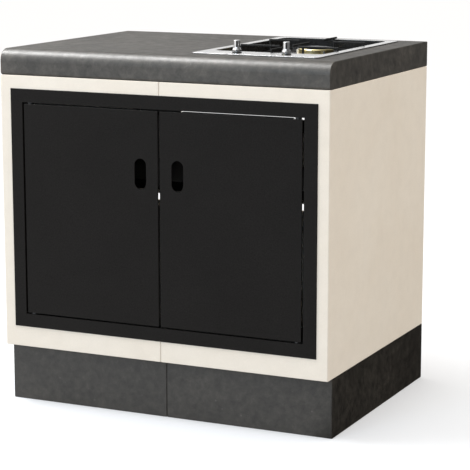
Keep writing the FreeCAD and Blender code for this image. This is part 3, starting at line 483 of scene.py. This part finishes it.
def turned(rows, place):
    """A body turned about its axis, from rows of radius, height and whether the row is six-sided."""
    rings = []
    for radius, height, six_sided in rows:
        ring = []
        for i in range(ROUND_SIDES):
            angle = 2 * math.pi * i / ROUND_SIDES
            from_flat = (angle + math.pi / 6) % (math.pi / 3) - math.pi / 6
            reach = radius / math.cos(from_flat) if six_sided else radius
            ring.append(place @ Vector((reach * math.cos(angle), reach * math.sin(angle), height)))
        rings.append(ring)
    return skin(rings)


def tube(path, radius, sides):
    """A round wire along a path."""
    turns = [2 * math.pi * i / sides for i in range(sides)]
    rings = []
    for k, point in enumerate(path):
        ahead = (path[min(k + 1, len(path) - 1)] - path[max(k - 1, 0)]).normalized()
        normal = before.rotation_difference(ahead) @ normal if k else ahead.orthogonal().normalized()
        before = ahead
        across = ahead.cross(normal)
        rings.append([point + radius * (math.cos(turn) * normal + math.sin(turn) * across) for turn in turns])
    return skin(rings)


def piece(name, bodies, look, body):
    """One object made of several bodies of points and faces, which rides on a CAD body."""
    points = []
    faces = []
    for own_points, own_faces in bodies:
        faces += [tuple(len(points) + index for index in face) for face in own_faces]
        points += own_points
    mesh = bpy.data.meshes.new(name)
    mesh.from_pydata(points, [], faces)
    mesh.polygons.foreach_set("use_smooth", [True] * len(faces))
    mesh.set_sharp_from_angle(angle=SHARP_FROM)
    mesh.materials.append(paints[look])
    made = bpy.data.objects.new(name, mesh)
    scene.collection.objects.link(made)
    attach(made, body)
    return made


def loose_parts(name):
    """The points of each separate solid of a CAD node, in the shared frame."""
    work = bmesh.new()
    work.from_mesh(nodes[name].data)
    work.transform(nodes[name].matrix_world)
    bmesh.ops.remove_doubles(work, verts=work.verts, dist=WELD_POINTS)
    left = set(work.verts)
    parts = []
    while left:
        waiting = [left.pop()]
        part = []
        while waiting:
            vert = waiting.pop()
            part.append(vert.co.copy())
            joined = {edge.other_vert(vert) for edge in vert.link_edges} & left
            left -= joined
            waiting += joined
        parts.append(part)
    work.free()
    return parts


def box_of(points):
    low = Vector(min(point[axis] for point in points) for axis in range(3))
    high = Vector(max(point[axis] for point in points) for axis in range(3))
    return low, high


def fixing(points, kind):
    """A screw or bolt in place of a plain one: its head is the wider end of its longest side."""
    low, high = box_of(points)
    size = high - low
    along = max(range(3), key=lambda axis: size[axis])
    length = size[along]
    middle = (low + high) / 2
    reach = {1: 0.0, -1: 0.0}
    distances = []
    for point in points:
        side = 1 if point[along] > middle[along] else -1
        across = point - middle
        across[along] = 0.0
        distances.append(across.length)
        reach[side] = max(reach[side], across.length)
    side = max(reach, key=reach.get)
    radius = reach[side]
    shank = reach[-side]
    heights = [point[along] for point, distance in zip(points, distances) if distance ** 2 > shank * radius]
    head = max(heights) - min(heights)
    outward = Vector((0.0, 0.0, 0.0))
    outward[along] = side
    turn = outward.to_track_quat("Z", "Y").to_matrix().to_4x4()
    place = Matrix.Translation(middle + outward * length / 2) @ turn
    rows = [(TIP_SHARE * shank, -length, False), (shank, -length + shank, False), (shank, -head, False)]
    width = radius * math.cos(math.pi / 6) if kind == "hexagon" else radius
    rows += [(share * width, -depth * head, six_sided) for share, depth, six_sided in HEADS[kind]]
    return turned(rows, place)


def valve_spring(tap):
    """A wound spring in place of a plain one."""
    low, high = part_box(tap + "_valve_spring")
    middle = (Vector(low) + Vector(high)) / 2
    radius = (high[0] - low[0]) / 2 - SPRING_WIRE
    steps = int(SPRING_TURNS * SPRING_STEPS)
    height = high[2] - low[2]
    rise = height - 2 * SPRING_WIRE
    path = []
    for k in range(steps + 1):
        angle = 2 * math.pi * k / SPRING_STEPS
        path.append(Vector((middle.x + radius * math.cos(angle), middle.y + radius * math.sin(angle),
                            low[2] + SPRING_WIRE + rise * k / steps)))
    wire = tube(path, SPRING_WIRE, SPRING_SIDES)
    wound = piece(tap + "_spring_wound", [wire], looks[tap + "_valve_spring"], "cabinet")
    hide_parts(tap + "_valve_spring")
    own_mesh(wound)


def spark_pins():
    """A bent pin on each electrode, which points at the nearer burner."""
    rings = (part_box("front_burner_ring"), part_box("rear_burner_ring"))
    burners = [(Vector(low) + Vector(high)) / 2 for low, high in rings]
    up = Vector((0.0, 0.0, 1.0))
    wires = []
    for points in loose_parts("electrodes"):
        low, high = box_of(points)
        foot = Vector(((low.x + high.x) / 2, (low.y + high.y) / 2, high.z - PIN_RISE))
        burner = min(burners, key=lambda centre: (centre - foot).length)
        towards = Vector((burner.x - foot.x, burner.y - foot.y, 0.0)).normalized()
        path = [foot + rise * PIN_RISE * up + reach * PIN_REACH * towards for rise, reach in PIN_PATH]
        wires.append(tube(path, PIN_RADIUS, PIN_SIDES))
    piece("spark_pins", wires, "stainless", "cabinet")


def bead(profile, start, end, place):
    """A rubber bead with thinner ends; place turns a way along it and a profile point into a point."""
    ends = ((start, SEAL_END_SHARE), (start + SEAL_TAPER, 1.0),
            (end - SEAL_TAPER, 1.0), (end, SEAL_END_SHARE))
    return skin([[place(along, share * u * MM, share * v * MM) for u, v in profile] for along, share in ends])


def door_seal(side, low_end, high_end):
    """A bead on a door's top fold, which leaves only a thin slit under the frame."""
    low, high = (Vector(corner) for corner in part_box(side + "_door"))

    def on_fold(x, y, z):
        return Vector((x, low.y + SEAL_SETBACK + y, high.z + z))

    made = bead(SEAL_PROFILE, low.x + low_end, high.x - high_end, on_fold)
    piece(side + "_door_seal", [made], "black_rubber", side + "_door")


def meeting_seal():
    """Two beads behind the left door's meeting edge, with a space where light comes through the gap."""
    low, high = (Vector(corner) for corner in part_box("left_door"))

    def behind_edge(z, x, y):
        return Vector((high.x + x, low.y + DOOR_SHEET + y, z))

    spans = ((low.z + MEETING_END, low.z + MEETING_LOW_TOP),
             (high.z - MEETING_HIGH_FOOT, high.z - MEETING_END))
    beads = [bead(MEETING_PROFILE, start, end, behind_edge) for start, end in spans]
    piece("meeting_seal", beads, "black_rubber", "left_door")


for name, kind in FIXINGS.items():
    fixings = [fixing(points, kind) for points in loose_parts(name)]
    heads = piece(name + "_driven", fixings, looks[name], "cabinet")
    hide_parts(name)
for tap in ("left", "right"):
    valve_spring(tap)
spark_pins()
door_seal("left", SEAL_FROM_HINGE, SEAL_FROM_MEETING)
door_seal("right", SEAL_FROM_MEETING, SEAL_FROM_HINGE)
meeting_seal()


# Stage
def light_path_share(tree):
    """One for rays that come from the camera, a mirror or glass, and nought for those that light the part."""
    path = tree.nodes.new("ShaderNodeLightPath")
    share = path.outputs["Is Camera Ray"]
    for output in ("Is Glossy Ray", "Is Transmission Ray"):
        either = tree.nodes.new("ShaderNodeMath")
        either.operation = "MAXIMUM"
        tree.links.new(share, either.inputs[0])
        tree.links.new(path.outputs[output], either.inputs[1])
        share = either.outputs["Value"]
    return share


def mix_by_ray(tree, lighting, shown, end):
    """Sends one shader to the rays that light the part and another to those that show."""
    mix = tree.nodes.new("ShaderNodeMixShader")
    tree.links.new(light_path_share(tree), mix.inputs["Fac"])
    tree.links.new(lighting, mix.inputs[1])
    tree.links.new(shown, mix.inputs[2])
    tree.links.new(mix.outputs["Shader"], tree.nodes[end].inputs["Surface"])


def bare_material(name):
    made = bpy.data.materials.new(name)
    made.use_nodes = True
    made.node_tree.nodes.remove(made.node_tree.nodes["Principled BSDF"])
    return made


def coloured(tree, kind, colour):
    made = tree.nodes.new(kind)
    made.inputs["Color"].default_value = colour
    return made.outputs[0]


def studio_world():
    world = bpy.data.worlds.new("studio")
    scene.world = world
    world.use_nodes = True
    tree = world.node_tree
    light = tree.nodes["Background"]
    light.inputs["Color"].default_value = (*SKY_LIGHT, 1.0)
    shown = coloured(tree, "ShaderNodeBackground", grey(1.0))
    mix_by_ray(tree, light.outputs["Background"], shown, "World Output")


def studio_floor():
    bpy.ops.mesh.primitive_plane_add(size=FLOOR_REACH, location=(0, 0, -FLOOR_DROP))
    floor = bpy.context.object
    floor.name = "studio_floor"
    made = bare_material("studio_floor")
    tree = made.node_tree
    bounce = coloured(tree, "ShaderNodeBsdfDiffuse", grey(FLOOR_BOUNCE))
    shown = tree.nodes.new("ShaderNodeAddShader")
    tree.links.new(coloured(tree, "ShaderNodeBsdfDiffuse", (*FLOOR_SHOWN, 1.0)), shown.inputs[0])
    tree.links.new(coloured(tree, "ShaderNodeEmission", grey(FLOOR_GLOW)), shown.inputs[1])
    mix_by_ray(tree, bounce, shown.outputs["Shader"], "Material Output")
    floor.data.materials.append(made)


def reflection_card(name, tone, edge, rise):
    corners = [edge[0], edge[1], edge[1] + rise, edge[0] + rise]
    mesh = bpy.data.meshes.new(name)
    mesh.from_pydata(corners, [], [(0, 1, 2, 3)])
    card = bpy.data.objects.new(name, mesh)
    scene.collection.objects.link(card)
    made = bare_material(name)
    tree = made.node_tree
    glow = coloured(tree, "ShaderNodeEmission", grey(tone))
    tree.links.new(glow, tree.nodes["Material Output"].inputs["Surface"])
    mesh.materials.append(made)
    card.visible_camera = False
    card.visible_diffuse = False
    card.visible_shadow = False


def soft_lamp(name, place, aim, size, power, colour, glossy):
    lamp = bpy.data.lights.new(name, "AREA")
    lamp.shape = "RECTANGLE"
    lamp.size, lamp.size_y = size
    lamp.energy = power
    lamp.color = colour
    lit = bpy.data.objects.new(name, lamp)
    lit.visible_glossy = glossy
    scene.collection.objects.link(lit)
    lit.location = place
    lit.rotation_euler = (Vector(aim) - Vector(place)).to_track_quat("-Z", "Y").to_euler()


def photo_camera():
    data = bpy.data.cameras.new("camera")
    data.lens = CAMERA_LENS
    data.sensor_width = SENSOR
    eye = bpy.data.objects.new("camera", data)
    scene.collection.objects.link(eye)
    eye.location = CAMERA_PLACE
    eye.rotation_euler = (math.radians(90 - CAMERA_DIP), 0, math.radians(CAMERA_TURN))
    scene.camera = eye


studio_world()
studio_floor()
for name, card in CARDS.items():
    reflection_card(name, **card)
for name, lamp in LAMPS.items():
    soft_lamp(name, **lamp)
photo_camera()
